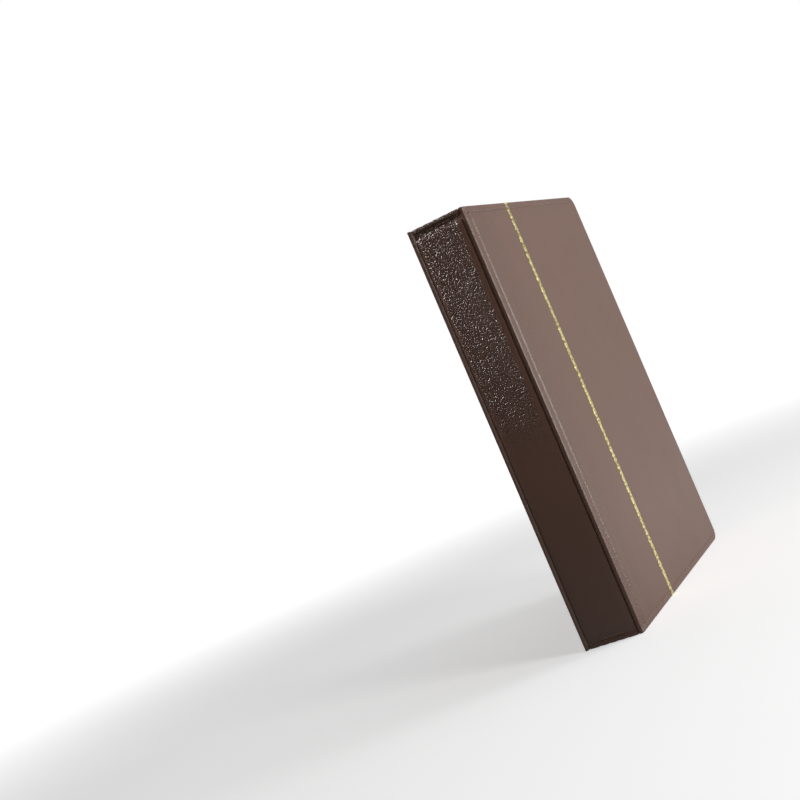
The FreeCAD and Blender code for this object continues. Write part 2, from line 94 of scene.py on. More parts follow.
def linear(hex_colour: str) -> tuple[float, float, float, float]:
    """Turns an sRGB hex colour to linear light.

    Args:
        hex_colour: six hex digits after a hash.

    Returns:
        Linear red, green and blue, with an alpha of 1.
    """
    channels = [int(hex_colour[i : i + 2], 16) / 255 for i in (1, 3, 5)]
    light = [c / 12.92 if c <= 0.04045 else ((c + 0.055) / 1.055) ** 2.4 for c in channels]
    return (light[0], light[1], light[2], 1.0)


def add_node(tree: NodeTree, kind: str, inputs: dict | None = None, **settings: object) -> Node:
    """Adds one shader node with its settings and links.

    Args:
        tree: node tree that takes the node.
        kind: type name of the node.
        inputs: a value, or an output socket to link, for each input by name or number.
        settings: properties set on the node itself.

    Returns:
        The new node.
    """
    node = tree.nodes.new(kind)
    for key, value in settings.items():
        setattr(node, key, value)
    for key, value in (inputs or {}).items():
        if isinstance(value, NodeSocket):
            tree.links.new(value, node.inputs[key])
        else:
            node.inputs[key].default_value = value
    return node


class Shading:
    """A node tree under construction, with the kinds of node that several finishes share.

    Wherever a method takes a value, that is a number or an output socket to link.
    """

    def __init__(self, tree: NodeTree, coordinates: str = "Object") -> None:
        """Empties the tree and adds its place.

        Args:
            tree: node tree of a material or of the world.
            coordinates: which texture coordinates give the place.
        """
        tree.nodes.clear()
        self.tree = tree
        self.place = add_node(tree, "ShaderNodeTexCoord").outputs[coordinates]

    def along(self, axis: str) -> NodeSocket:
        """The place along one axis."""
        return add_node(self.tree, "ShaderNodeSeparateXYZ", {"Vector": self.place}).outputs[axis]

    def noise(self, size_mm: float, detail: float, output: str = "Fac", **inputs: object) -> NodeSocket:
        """Adds cloudy noise.

        Args:
            size_mm: real size of its largest forms.
            detail: how many finer layers it has.
            output: which output is wanted.
            inputs: more inputs, by name.

        Returns:
            The output.
        """
        sockets = {"Vector": self.place, "Scale": 1 / (size_mm * MM), "Detail": detail, **inputs}
        return add_node(self.tree, "ShaderNodeTexNoise", sockets).outputs[output]

    def math(self, operation: str, *values: "NodeSocket | float") -> NodeSocket:
        """Works out a number from one to three values."""
        inputs = dict(enumerate(values))
        return add_node(self.tree, "ShaderNodeMath", inputs, operation=operation).outputs[0]

    def vector(self, operation: str, *values: "NodeSocket | tuple") -> NodeSocket:
        """Works out a vector from one to three values."""
        inputs = dict(enumerate(values))
        return add_node(self.tree, "ShaderNodeVectorMath", inputs, operation=operation).outputs[0]

    def remap(
        self,
        value: NodeSocket,
        source: tuple[float, float] = (0.0, 1.0),
        target: tuple[float, float] = (0.0, 1.0),
        ease: str = "LINEAR",
    ) -> NodeSocket:
        """Carries a value from one range to another.

        Args:
            value: output to carry over.
            source: range that it comes from.
            target: range that it goes to.
            ease: how it runs between the ends.

        Returns:
            The output in the target range.
        """
        ends = ("Value", "From Min", "From Max", "To Min", "To Max")
        inputs = dict(zip(ends, (value, *source, *target)))
        return add_node(self.tree, "ShaderNodeMapRange", inputs, interpolation_type=ease).outputs[0]

    def mix(self, factor: NodeSocket, first: str, second: str) -> NodeSocket:
        """Runs from the first sRGB colour at 0 to the second at 1."""
        inputs = {"Factor": factor, "A": linear(first), "B": linear(second)}
        return add_node(self.tree, "ShaderNodeMix", inputs, data_type="RGBA").outputs["Result"]

    def bump(self, height: NodeSocket, strength: "NodeSocket | float", depth_mm: float) -> NodeSocket:
        """Bends the normal by a height of a real depth."""
        inputs = {"Height": height, "Strength": strength, "Distance": depth_mm * MM}
        return add_node(self.tree, "ShaderNodeBump", inputs).outputs[0]

    def finish(self, inputs: dict) -> None:
        """Ends a material with its surface shader."""
        shader = add_node(self.tree, "ShaderNodeBsdfPrincipled", inputs)
        add_node(self.tree, "ShaderNodeOutputMaterial", {"Surface": shader.outputs[0]})


def new_material(name: str) -> tuple[Material, Shading]:
    """Makes an empty node material.

    Args:
        name: common name of the real material.

    Returns:
        The material, and its node tree to add to.
    """
    material = bpy.data.materials.new(name)
    material.use_nodes = True
    return material, Shading(material.node_tree)


def smooth_step(value: float, low: float, high: float) -> float:
    """Eases from 0 at low to 1 at high."""
    t = min(1.0, max(0.0, (value - low) / (high - low)))
    return t * t * (3 - 2 * t)


@dataclass(frozen=True)
class Fade:
    """A stretch along one axis of the frame over which a pattern eases off."""

    axis: str
    full_at: float
    faint_at: float
    left_over: float

    def share(self, place: Vector) -> float:
        """How strong the pattern is at a place, from 1 down to what is left over."""
        value = getattr(place, self.axis.lower())
        return self.left_over + (1 - self.left_over) * smooth_step(value, self.faint_at, self.full_at)


@dataclass(frozen=True)
class Finish:
    """A finish, named for the real material and how its surface was made."""

    name: str

    def build(self) -> Material:
        """Returns the node material."""
        material, nodes = new_material(self.name)
        self.shade(nodes)
        return material

    def shade(self, nodes: Shading) -> None:
        """Adds the nodes of the finish."""
        raise NotImplementedError


@dataclass(frozen=True)
class Leatherette(Finish):
    """Vinyl-coated fabric, embossed with a leather grain between heated rollers.

    The emboss gives round pebbles that glint one by one; the creases between them are darkened by
    painted shade in the colour. The semi-matt top coat gives a pale sheen where the light grazes it. The
    grain, with its painted crease shade, eases off over a fade.
    """

    fades: tuple[Fade, ...]
    tint: str = "#6a4e41"
    # Painted shade: the colour that the creases between the pebbles are darkened to.
    crease_shade_tint: str = "#5e4539"
    # The real grain is about 1 mm, finer than two pixels of the main view, so it is drawn coarser.
    pebble_mm: float = 1.9
    pore_mm: float = 0.5
    mottle_mm: float = 40.0
    emboss_mm: float = 0.06
    roughness: float = 0.42
    gloss_swing: tuple[float, float] = (-0.05, 0.07)
    # In pebbles: how far apart the rows swerve, and how wide the sloping sides of a pebble are.
    swerve_span: float = 2.5
    dome_side: float = 0.4
    pore_height: float = 0.3
    # How far the deepest creases are darkened towards that painted shade.
    crease_shade_share: float = 0.8

    def shade(self, nodes: Shading) -> None:
        """Adds the pebbles, their pores, painted shade in their creases, and the coat's uneven gloss."""
        embossed = self.emboss_strength(nodes)
        pebble = self.pebble_mm * MM
        swerve = nodes.noise(self.swerve_span * self.pebble_mm, 2.0, "Color")
        centred = nodes.vector("SUBTRACT", swerve, (0.5, 0.5, 0.5))
        bent = nodes.vector("MULTIPLY_ADD", centred, (pebble, pebble, pebble), nodes.place)
        cells = add_node(
            nodes.tree,
            "ShaderNodeTexVoronoi",
            {"Vector": bent, "Scale": 1 / pebble, "Randomness": 0.9},
            feature="DISTANCE_TO_EDGE",
        )
        dome = nodes.remap(cells.outputs["Distance"], (0.0, self.dome_side), ease="SMOOTHERSTEP")
        height = nodes.math("MULTIPLY_ADD", nodes.noise(self.pore_mm, 2.0), self.pore_height, dome)
        # Painted shade: the colour darkens towards the crease tint in the creases between the pebbles.
        sunk = nodes.math("MULTIPLY", nodes.remap(dome, target=(self.crease_shade_share, 0.0)), embossed)
        least, most = (self.roughness + swing for swing in self.gloss_swing)
        nodes.finish(
            {
                "Base Color": nodes.mix(sunk, self.tint, self.crease_shade_tint),
                "Roughness": nodes.remap(nodes.noise(self.mottle_mm, 3.0), target=(least, most)),
                "IOR": 1.5,
                "Normal": nodes.bump(height, embossed, self.emboss_mm),
            }
        )

    def emboss_strength(self, nodes: Shading) -> "NodeSocket | float":
        """Works out how strong the grain is at each place.

        Args:
            nodes: node tree that takes the nodes.

        Returns:
            1 where the grain is full, less where a fade has flattened it.
        """
        strength = 1.0
        for fade in self.fades:
            source, target = (fade.faint_at, fade.full_at), (fade.left_over, 1.0)
            eased = nodes.remap(nodes.along(fade.axis), source, target, "SMOOTHSTEP")
            strength = nodes.math("MULTIPLY", eased, strength)
        return strength


@dataclass(frozen=True)
class SewingThread(Finish):
    """Two-ply polyester sewing thread: matt twisted fibres with a faint silky line along each ply."""

    name: str = "polyester_thread"
    tint: str = "#553d31"
    # Painted highlight: the paler colour painted on random fibres.
    fibre_highlight_tint: str = "#7a5d4d"
    fibre_mm: float = 0.12

    def shade(self, nodes: Shading) -> None:
        """Adds the fibres, some painted paler at random as highlights where they would catch the light.
        """
        fibres = nodes.noise(self.fibre_mm, 2.0)
        nodes.finish(
            {
                "Base Color": nodes.mix(fibres, self.tint, self.fibre_highlight_tint),
                "Roughness": 0.6,
                "Sheen Weight": 0.3,
                "Normal": nodes.bump(fibres, strength=0.6, depth_mm=0.05),
            }
        )


@dataclass(frozen=True)
class GoldFoil(Finish):
    """Imitation gold leaf, hot-pressed into the grain: bright yellow metal broken by the pebbles."""

    name: str = "pressed_gold_foil"
    tint: str = "#fff2a6"
    worn: str = "#9a8838"
    # The foil breaks at the pebbles' size, drawn coarser for the same reason as they are.
    grain_mm: float = 1.6
    wear_range: tuple[float, float] = (0.38, 0.52)

    def shade(self, nodes: Shading) -> None:
        """Adds the bright tops and the worn hollows."""
        grain = nodes.noise(self.grain_mm, 2.0)
        nodes.finish(
            {
                "Base Color": nodes.mix(nodes.remap(grain, self.wear_range), self.worn, self.tint),
                "Metallic": 1.0,
                "Roughness": 0.3,
                "Normal": nodes.bump(grain, strength=0.7, depth_mm=0.3),
            }
        )


@dataclass(frozen=True)
class FibreSheet(Finish):
    """Paper, card or felted board: matt short fibres, seen as a faint cloud and a fine tooth."""

    tint: str
    cloud: str
    fibre_mm: float
    tooth_mm: float
    roughness: float
    cloud_fibres: float = 12

    def shade(self, nodes: Shading) -> None:
        """Adds the cloud in the colour and the tooth of the fibres."""
        clouds = nodes.noise(self.cloud_fibres * self.fibre_mm, 5.0)
        fibres = nodes.noise(self.fibre_mm, 4.0, Distortion=1.2)
        nodes.finish(
            {
                "Base Color": nodes.mix(clouds, self.tint, self.cloud),
                "Roughness": self.roughness,
                "Specular IOR Level": 0.3,
                "Normal": nodes.bump(fibres, strength=0.7, depth_mm=self.tooth_mm),
            }
        )


@dataclass(frozen=True)
class NickelPlate(Finish):
    """Bright nickel on pressed steel and drawn wire: a warm mirror with faint lines and rub marks."""

    name: str = "nickel_plated_steel"
    tint: str = "#d8d3c8"
    dull: str = "#bdb6a9"
    line_mm: float = 0.5
    line_stretch: tuple[float, float, float] = (1.0, 1.0, 0.03)
    rub_mm: float = 9.0
    gloss_range: tuple[float, float] = (0.12, 0.3)

    def shade(self, nodes: Shading) -> None:
        """Adds the lines of rolling and drawing, and the duller rubbed places."""
        rubs = nodes.noise(self.rub_mm, 6.0)
        stretch = {"Vector": nodes.place, "Scale": self.line_stretch}
        drawn = add_node(nodes.tree, "ShaderNodeMapping", stretch).outputs[0]
        lines = nodes.noise(self.line_mm, 2.0, Vector=drawn)
        nodes.finish(
            {
                "Base Color": nodes.mix(rubs, self.tint, self.dull),
                "Metallic": 1.0,
                "Roughness": nodes.remap(rubs, target=self.gloss_range),
                "Normal": nodes.bump(lines, strength=0.25, depth_mm=0.01),
            }
        )


@dataclass(frozen=True)
class ClearFilm(Finish):
    """Clear polyester film, cast and rolled: glassy, with a faint ripple and a trace of blue."""

    name: str = "clear_polyester_film"
    tint: str = "#eef3f6"
    ripple_mm: float = 18.0

    def shade(self, nodes: Shading) -> None:
        """Adds the ripple to the clear sheet."""
        nodes.finish(
            {
                "Base Color": linear(self.tint),
                "Roughness": 0.08,
                "IOR": 1.58,
                "Transmission Weight": 1.0,
                "Normal": nodes.bump(nodes.noise(self.ripple_mm, 2.0), strength=0.4, depth_mm=0.2),
            }
        )


def spine_fades() -> tuple[Fade, ...]:
    """Where the spine's grain, with its painted crease shade, eases off: towards the foot, standing in
    for glints that fade there with the light, and in the valleys beside the covers.
    """
    low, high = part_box("spine_skin")
    return (
        Fade("Z", full_at=0.6 * high.z, faint_at=0.36 * high.z, left_over=0.03),
        Fade("Y", full_at=low.y + 0.5 * MM, faint_at=low.y - 2.5 * MM, left_over=0.05),
        Fade("Y", full_at=high.y + 1.0 * MM, faint_at=high.y + 4.0 * MM, left_over=0.3),
    )


class Palette:
    """Every finish of the album, built once."""

    def __init__(self) -> None:
        """Builds the node materials."""
        edge = CAD_BOX[0].x
        near_spine = Fade("X", full_at=edge + 8 * MM, faint_at=edge + 60 * MM, left_over=0.08)
        self.cover = Leatherette("cover_leatherette", (near_spine,), emboss_mm=0.1).build()
        # Painted shade: the spine's tint and crease tint are darker than the cover's, though the real
        # spine is the same leatherette.
        self.spine = Leatherette(
            "spine_leatherette",
            spine_fades(),
            tint="#5f4438",
            crease_shade_tint="#4a342b",
            pebble_mm=0.9,
            roughness=0.3,
        ).build()
        self.thread = SewingThread().build()
        self.foil = GoldFoil().build()
        self.endpaper = FibreSheet("brown_endpaper", "#4a352b", "#57402f", 0.35, 0.05, 0.85).build()
        self.greyboard = FibreSheet("felted_greyboard", "#8c857b", "#a19a8e", 0.6, 0.12, 0.95).build()
        self.wadding = FibreSheet("polyester_wadding", "#e4e0d6", "#f0ede6", 0.8, 0.3, 1.0).build()
        self.card = FibreSheet("calendered_black_card", "#141414", "#1d1c1c", 0.3, 0.04, 0.7).build()
        self.nickel = NickelPlate().build()
        self.film = ClearFilm().build()


def new_piece(name: str, shell: BMesh, material: Material, body: str, node: str) -> Object:
    """Turns a mesh under construction to a piece that takes the place of a CAD node.

    Args:
        name: name of the piece.
        shell: mesh under construction, freed here.
        material: finish of the piece.
        body: CAD body that carries it.
        node: CAD node that it replaces.

    Returns:
        The new object.
    """
    bmesh.ops.remove_doubles(shell, verts=shell.verts, dist=WELD_DISTANCE)
    bmesh.ops.recalc_face_normals(shell, faces=shell.faces)
    for face in shell.faces:
        face.smooth = True
    mesh = bpy.data.meshes.new(name)
    shell.to_mesh(mesh)
    shell.free()
    mesh.set_sharp_from_angle(angle=SHARP_ANGLE)
    mesh.materials.append(material)
    piece = bpy.data.objects.new(name, mesh)
    bpy.context.scene.collection.objects.link(piece)
    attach(piece, body)
    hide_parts(node)
    LOG.info("%s: %d faces on %s", name, len(mesh.polygons), body)
    return piece


def dress(node: str, material: Material) -> None:
    """Gives a CAD node its finish."""
    piece = frame["nodes"][node]
    piece.material_slots[0].material = material
    LOG.info("%s: dressed in %s", node, material.name)


def stops(*spans: tuple[float, float, float]) -> list[float]:
    """Places along a line, close together where a span asks for it.

    Args:
        spans: start, end and largest step of each stretch, in order.

    Returns:
        All the places, without repeats at the joins.
    """
    places: list[float] = []
    for start, end, step in spans:
        count = max(1, math.ceil((end - start) / step - 1e-6))
        first = 1 if places else 0
        places += [start + (end - start) * i / count for i in range(first, count + 1)]
    return places


def round_over(radius: float, count: int) -> list[float]:
    """Distances from an edge that divide its quarter round evenly, from 0 to the radius."""
    return [radius * (1 - math.cos(math.pi / 2 * i / count)) for i in range(count + 1)]


def rounded_depth(width: float, depth: float, distance: float, power: float = 2.0) -> float:
    """How far a rounded edge lies below its face.

    Args:
        width: width of the round.
        depth: depth of the round at the edge.
        distance: distance from the edge.
        power: 2 for an ellipse, less for a flatter bevel.

    Returns:
        The depth, 0 beyond the width.
    """
    gap = min(1.0, max(0.0, 1 - distance / width)) if width else 0.0
    return depth * (1 - (1 - gap**power) ** (1 / power))


def bell(value: float, half_width: float) -> float:
    """A smooth bump of height 1 at 0 that fades over about its half width."""
    return math.exp(-((value / half_width) ** 2))


def nearest_pebble(across: float, up: float) -> float:
    """Finds the nearest of the pebbles, which lie one to a square of side 1, each off its middle.

    Args:
        across: place across, in squares.
        up: place upward, in squares.

    Returns:
        Distance to that pebble's middle, in squares.
    """
    column, row = math.floor(across), math.floor(up)
    nearest = 2.0
    for i in range(column - 1, column + 2):
        for k in range(row - 1, row + 2):
            shift = noise.cell_vector(Vector((i + 0.5, k + 0.5, 0.5)))
            nearest = min(nearest, math.hypot(i + shift.x - across, k + shift.y - up))
    return nearest


def ring_faces(shell: BMesh, first: Sequence, second: Sequence) -> None:
    """Joins two closed loops of vertices with a band of faces."""
    count = len(first)
    for i in range(count):
        j = (i + 1) % count
        shell.faces.new((first[i], first[j], second[j], second[i]))


def fill_between(shell: BMesh, *loops: Sequence) -> None:
    """Fills the flat room between closed loops of vertices."""
    edges = []
    for loop in loops:
        pairs = zip(loop, list(loop[1:]) + [loop[0]])
        edges += [shell.edges.get(pair) or shell.edges.new(pair) for pair in pairs]
    bmesh.ops.triangle_fill(shell, use_beauty=True, edges=edges)


def close_tube(shell: BMesh, bands: Sequence) -> None:
    """Joins rings of vertices into a tube with closed ends."""
    for first, second in zip(bands, bands[1:]):
        ring_faces(shell, first, second)
    shell.faces.new(bands[0])
    shell.faces.new(bands[-1])


def quad_grid(shell: BMesh, grid: Sequence) -> None:
    """Joins rows of vertices into a sheet of four-sided faces."""
    for lower, upper in zip(grid, grid[1:]):
        for corners in zip(lower, lower[1:], upper[1:], upper):
            shell.faces.new(corners)


def border_of(grid: Sequence) -> list:
    """What lies round the border of a grid, in order."""
    right = [row[-1] for row in grid[1:]]
    top = list(grid[-1][-2::-1])
    left = [row[0] for row in grid[-2:0:-1]]
    return list(grid[0]) + right + top + left


@dataclass(frozen=True)
class Span:
    """The room a CAD node takes in a panel's own frame."""

    left: float
    right: float
    outer: float
    inner: float
    low: float
    high: float


def rounded_outline(span: Span, fit: float, radii: tuple[float, float]) -> list[tuple[float, float]]:
    """Outline round a flat piece, with its left and right corners rounded.

    Args:
        span: room taken by the piece.
        fit: gap left all round it.
        radii: radius of the left corners and of the right corners.

    Returns:
        Places as x and z, in order.
    """
    x0, x1 = span.left - fit, span.right + fit
    z0, z1 = span.low - fit, span.high + fit
    left, right = radii
    corners = [
        (x1 - right, z0 + right, right, -90),
        (x1 - right, z1 - right, right, 0),
        (x0 + left, z1 - left, left, 90),
        (x0 + left, z0 + left, left, 180),
    ]
    places = []
    for x, z, radius, start in corners:
        steps = 8 if radius else 1
        for i in range(steps):
            angle = math.radians(start + 90 * i / max(1, steps - 1))
            places.append((x + radius * math.cos(angle), z + radius * math.sin(angle)))
    return places


@dataclass(frozen=True)
class PanelFrame:
    """Where a panel lies: its outer bottom left corner, seen from outside, and two directions."""

    origin: Vector
    across: Vector
    inward: Vector

    @classmethod
    def of(cls, panel: Panel) -> "PanelFrame":
        """Reads the frame of a panel from its CAD skin.

        Args:
            panel: which panel.

        Returns:
            Its frame.
        """
        low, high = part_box(f"{panel.value}_skin")
        if panel is Panel.SPINE:
            return cls(Vector((low.x, high.y, 0)), Vector((0, -1, 0)), Vector((1, 0, 0)))
        face, inward = (low.y, 1) if panel is Panel.FRONT else (high.y, -1)
        corner = Vector((low.x + EDGE_SETBACK[panel], face, 0))
        return cls(corner, Vector((1, 0, 0)), Vector((0, inward, 0)))

    def place(self, x: float, depth: float, z: float) -> Vector:
        """A place of the panel in the shared frame."""
        return self.origin + self.across * x + self.inward * depth + Vector((0, 0, z))

    def span(self, node: str) -> Span:
        """The room that a CAD node takes in this frame."""
        corners = [corner - self.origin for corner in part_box(node)]
        left, right = sorted(corner.dot(self.across) for corner in corners)
        outer, inner = sorted(corner.dot(self.inward) for corner in corners)
        return Span(left, right, outer, inner, corners[0].z, corners[1].z)


@dataclass(frozen=True)
class PanelShape:
    """A board wrapped in skin: x runs from the left edge, z runs up and depth runs inward."""

    width: float
    height: float
    thickness: float
    left_round_width: float = 0.0
    left_round_depth: float = 0.0
    left_inner_round: float = 0.0
    right_round: float = 0.0
    end_round: float = 0.0
    left_end_round: float = 0.0
    right_corner: float = 0.0
    bevel_power: float = 1.5
    end_round_run: float = 9.0 * MM

    def right_inset(self, z: float) -> float:
        """How far the rounded right-hand corners draw in the right edge at a height."""
        gap = max(0.0, self.right_corner - min(z, self.height - z))
        return self.right_corner - math.sqrt(max(0.0, self.right_corner**2 - gap**2))

    def right_distance(self, x: float, z: float) -> float:
        """Distance from a place to the right edge, or to the edge round a right-hand corner."""
        end = min(z, self.height - z)
        right = self.width - x
        radius = self.right_corner
        if end < radius and right < radius:
            return radius - math.hypot(radius - end, radius - right)
        return right

    def depth(self, x: float, z: float, inner: bool = False) -> float:
        """Works out the depth of the rounded edges.

        Args:
            x: place across the panel.
            z: place up the panel.
            inner: whether the inner face is meant.

        Returns:
            Depth below the outer face, or below the inner one.
        """
        if inner:
            left = rounded_depth(self.left_inner_round, self.left_inner_round, x)
        else:
            left = rounded_depth(self.left_round_width, self.left_round_depth, x, self.bevel_power)
        right = rounded_depth(self.right_round, self.right_round, self.right_distance(x, z))
        share = smooth_step(x, 0.0, self.end_round_run)
        end_round = self.left_end_round + (self.end_round - self.left_end_round) * share
        return max(left, right, rounded_depth(end_round, end_round, min(z, self.height - z)))

    def across(self, nominal: float, z: float) -> float:
        """The x of a column, drawn in where the corners are rounded."""
        return nominal - self.right_inset(z) * nominal / self.width


@dataclass(frozen=True)
class Hem:
    """A sewn hem along the top and bottom of a panel: the rolled rim, the trough and the needle holes.

    The trough's sides are given as distances from the seam, towards the rim and towards the board. The
    hem is pressed flatter along the bottom, and on a cover also towards the fore-edge.
    """

    first_hole: float
    last_hole: float
    inset: float
    trough_depth: float
    rim_rise: float
    run_in: float
    eased_from: float
    eased_to: float
    eased_share: float
    bottom_share: float
    pitch: float = 6.0 * MM
    rim_side: float = 1.9 * MM
    rim_foot: float = 0.6
    seat: float = 0.7 * MM
    board_side: float = 5.2 * MM
    hole_depth: float = 0.5 * MM
    hole_reach: float = 0.7 * MM
    edge_pull: float = 0.2 * MM

    @classmethod
    def along(cls, thread: Span, **sizes: float) -> "Hem":
        """A hem whose outer holes lie half a gap past the first and the last CAD stitch."""
        return cls(thread.left - STITCH_GAP / 2, thread.right + STITCH_GAP / 2, HEM_INSET, **sizes)

    def strength(self, x: float) -> float:
        """1 where the hem is deepest, easing to 0 past both ends of the seam."""
        start = smooth_step(x, self.first_hole - self.run_in, self.first_hole)
        stop = 1 - smooth_step(x, self.last_hole, self.last_hole + self.run_in)
        eased = 1 - (1 - self.eased_share) * smooth_step(x, self.eased_from, self.eased_to)
        return start * stop * eased

    def from_hole(self, x: float) -> float:
        """Distance along the seam to the nearest needle hole."""
        count = (x - self.first_hole) / self.pitch
        return (count - round(count)) * self.pitch

    def relief(self, x: float, end: float, bottom: bool) -> float:
        """Extra depth of the skin near a hem.

        Args:
            x: place across the panel.
            end: distance from the top or bottom edge.
            bottom: whether that is the bottom edge.

        Returns:
            Depth below the plain face, negative where the rim stands proud.
        """
        across = end - self.inset
        if across > self.board_side:
            return 0.0
        reach = self.board_side if across > 0 else self.rim_side
        trough = self.trough_depth * (1 - smooth_step(abs(across), self.seat, reach))
        hole = self.hole_depth * bell(self.from_hole(x), self.hole_reach) * bell(across, self.hole_reach)
        rim = self.rim_rise * smooth_step(-across, self.rim_foot * self.rim_side, self.rim_side)
        share = self.bottom_share if bottom else 1.0
        return share * self.strength(x) * (trough + hole - rim)

    def pull(self, x: float, end: float) -> float:
        """How far the thread draws in the edge, most beside each needle hole."""
        draw = self.edge_pull * bell(self.from_hole(x), 2 * self.hole_reach)
        return self.strength(x) * draw * (1 - smooth_step(end, 0, self.inset))


@dataclass
class SkinnedPanel:
    """One panel of the case: its leatherette skin, its hem stitching, and its board and lining."""

    panel: Panel
    frame: PanelFrame
    shape: PanelShape
    hem: Hem
    column_step: float
    board_corners: tuple[float, float]
    fit: float = 0.15 * MM
    # Steps of the mesh: along the hems, beside them, over the rest, and round the edges.
    hem_step: float = 0.42 * MM
    beside_step: float = 1.6 * MM
    beside_end: float = 21 * MM
    row_step: float = 5.0 * MM
    edge_steps: int = 6
    inner_steps: int = 8
    thread_radius: float = 0.36 * MM
    thread_proud: float = 0.15 * MM
    thread_sunk: float = 0.5 * MM
    thread_turns: float = 1.5
    ply_swell: float = 0.16

    def node(self, layer: str) -> str:
        """Name of a CAD node of this panel."""
        return f"{self.panel.value}_{layer}"

    def end(self, z: float) -> float:
        """Distance to the nearer of the top and bottom edges."""
        return min(z, self.shape.height - z)

    def relief(self, x: float, z: float) -> float:
        """Extra depth of the outer face at a place."""
        return self.hem.relief(x, self.end(z), bottom=z < self.shape.height / 2)

    def surface(self, x: float, z: float) -> float:
        """Depth of the finished outer face at a place."""
        return self.shape.depth(x, z) + self.relief(x, z)

    def place(self, x: float, depth: float, z: float) -> Vector:
        """A place of the panel in the shared frame, with the edges drawn in by the thread."""
        pull = self.hem.pull(x, self.end(z))
        return self.frame.place(x, depth, z + pull if z < self.shape.height / 2 else z - pull)

    def columns(self) -> list[float]:
        """Columns of the outer face."""
        return stops((0.0, self.shape.width, self.column_step))

    def rows(self) -> list[float]:
        """Rows of the outer face: close together over the rounded ends and the hems."""
        shape = self.shape
        hem_end = self.hem.inset + self.hem.board_side
        lower = round_over(shape.end_round, self.edge_steps)
        spans = ((shape.end_round, hem_end, self.hem_step), (hem_end, self.beside_end, self.beside_step))
        lower += stops(*spans)[1:]
        upper = [shape.height - z for z in reversed(lower)]
        return lower + stops((lower[-1], upper[0], self.row_step))[1:-1] + upper

    def outer_face(self, shell: BMesh) -> list[tuple[BMVert, float, float]]:
        """Lays the outer face as a grid.

        Args:
            shell: mesh under construction.

        Returns:
            Its border as vertices with their x and z, in order round the panel.
        """
        columns = self.columns()
        grid = []
        for z in self.rows():
            places = [self.shape.across(nominal, z) for nominal in columns]
            grid.append([(shell.verts.new(self.place(x, self.surface(x, z), z)), x, z) for x in places])
        quad_grid(shell, [[corner[0] for corner in row] for row in grid])
        return border_of(grid)

    def inner_loop(self, shell: BMesh, border: list) -> list[BMVert]:
        """Carries the border round to the flat inner face.

        Args:
            shell: mesh under construction.
            border: vertices of the outer face's border, with x and z.

        Returns:
            The last loop of vertices, on the inner face.
        """
        middle = Vector((self.shape.width / 2, self.shape.height / 2))
        reach = max(self.shape.left_inner_round, self.shape.right_round, self.shape.left_end_round)
        loop = [vertex for vertex, _, _ in border]
        following = border[1:] + border[:1]
        preceding = border[-1:] + border[:-1]
        for step in round_over(reach, self.inner_steps):
            ring = []
            for (_, x, z), (_, xa, za), (_, xb, zb) in zip(border, preceding, following):
                inward = Vector((za - zb, xb - xa)).normalized()
                if inward.dot(middle - Vector((x, z))) < 0:
                    inward.negate()
                px, pz = x + inward.x * step, z + inward.y * step
                depth = self.shape.thickness - self.shape.depth(px, pz, inner=True)
                ring.append(shell.verts.new(self.place(px, depth, pz)))
            ring_faces(shell, loop, ring)
            loop = ring
        return loop

    def pocket(self, shell: BMesh, rim: list[BMVert]) -> None:
        """Folds the skin in round the board: the turned-in rim, the lining's window and the pocket.

        Args:
            shell: mesh under construction.
            rim: loop of vertices on the inner face.
        """
        lining = self.frame.span(self.node("lining"))
        board = self.frame.span(self.node("board"))
        pad = self.frame.span(self.node("padding")) if self.panel is not Panel.SPINE else board
        window = rounded_outline(lining, self.fit, (0.0, 0.0))
        pocket = rounded_outline(board, self.fit, self.board_corners)
        loops = []
        for outline, depth in (
            (window, lining.inner),
            (window, lining.outer),
            (pocket, lining.outer),
            (pocket, pad.outer),
        ):
            loops.append([shell.verts.new(self.frame.place(x, depth, z)) for x, z in outline])
        face_rim, window_floor, mouth, floor = loops
        fill_between(shell, rim, face_rim)
        ring_faces(shell, face_rim, window_floor)
        fill_between(shell, mouth, window_floor)
        ring_faces(shell, mouth, floor)
        shell.faces.new(floor)

    def finish_piece(self, layer: str, shell: BMesh, material: Material, slot: str, cad: str) -> Object:
        """Makes a piece of this panel from its mesh, in place of a CAD layer."""
        return new_piece(self.node(layer), shell, material, self.panel.value, self.node(cad))

    def build_skin(self, material: Material) -> None:
        """Builds the leatherette skin in place of the CAD one."""
        shell = bmesh.new()
        border = self.outer_face(shell)
        self.pocket(shell, self.inner_loop(shell, border))
        self.finish_piece("leatherette", shell, material, "leatherette", "skin")

    def build_stitching(self, material: Material) -> None:
        """Builds the sewn stitches of both hems in place of the CAD ones."""
        shell = bmesh.new()
        count = round((self.hem.last_hole - self.hem.first_hole) / self.hem.pitch)
        for level in (self.hem.inset, self.shape.height - self.hem.inset):
            for i in range(count):
                self.stitch(shell, self.hem.first_hole + (i + 0.5) * self.hem.pitch, level)
        self.finish_piece("sewing_thread", shell, material, "thread", "stitching")

    def dress(self, palette: Palette) -> None:
        """Gives the board and the lining their finishes."""
        dress(self.node("board"), palette.greyboard)
        dress(self.node("lining"), palette.endpaper)

    def stitch(self, shell: BMesh, middle: float, level: float) -> None:
        """Adds one stitch: two twisted plies that rise out of one hole and dip into the next.

        Args:
            shell: mesh under construction.
            middle: x of the stitch's middle.
            level: z of the seam.
        """
        rings, sides, plies = 12, 10, 2
        top = self.surface(middle, level) - self.thread_proud
        bands = []
        for k in range(rings + 1):
            u = 2 * k / rings - 1
            x = middle + u * self.hem.pitch / 2
            depth = top + (self.thread_proud + self.thread_sunk) * u**4
            band = []
            for side in range(sides):
                angle = 2 * math.pi * side / sides
                twist = math.cos(plies * (angle - math.pi * self.thread_turns * u))
                reach = self.thread_radius * (1 + self.ply_swell * twist)
                offset = (depth + reach * math.cos(angle), level + reach * math.sin(angle))
                band.append(shell.verts.new(self.place(x, *offset)))
            bands.append(band)
        close_tube(shell, bands)


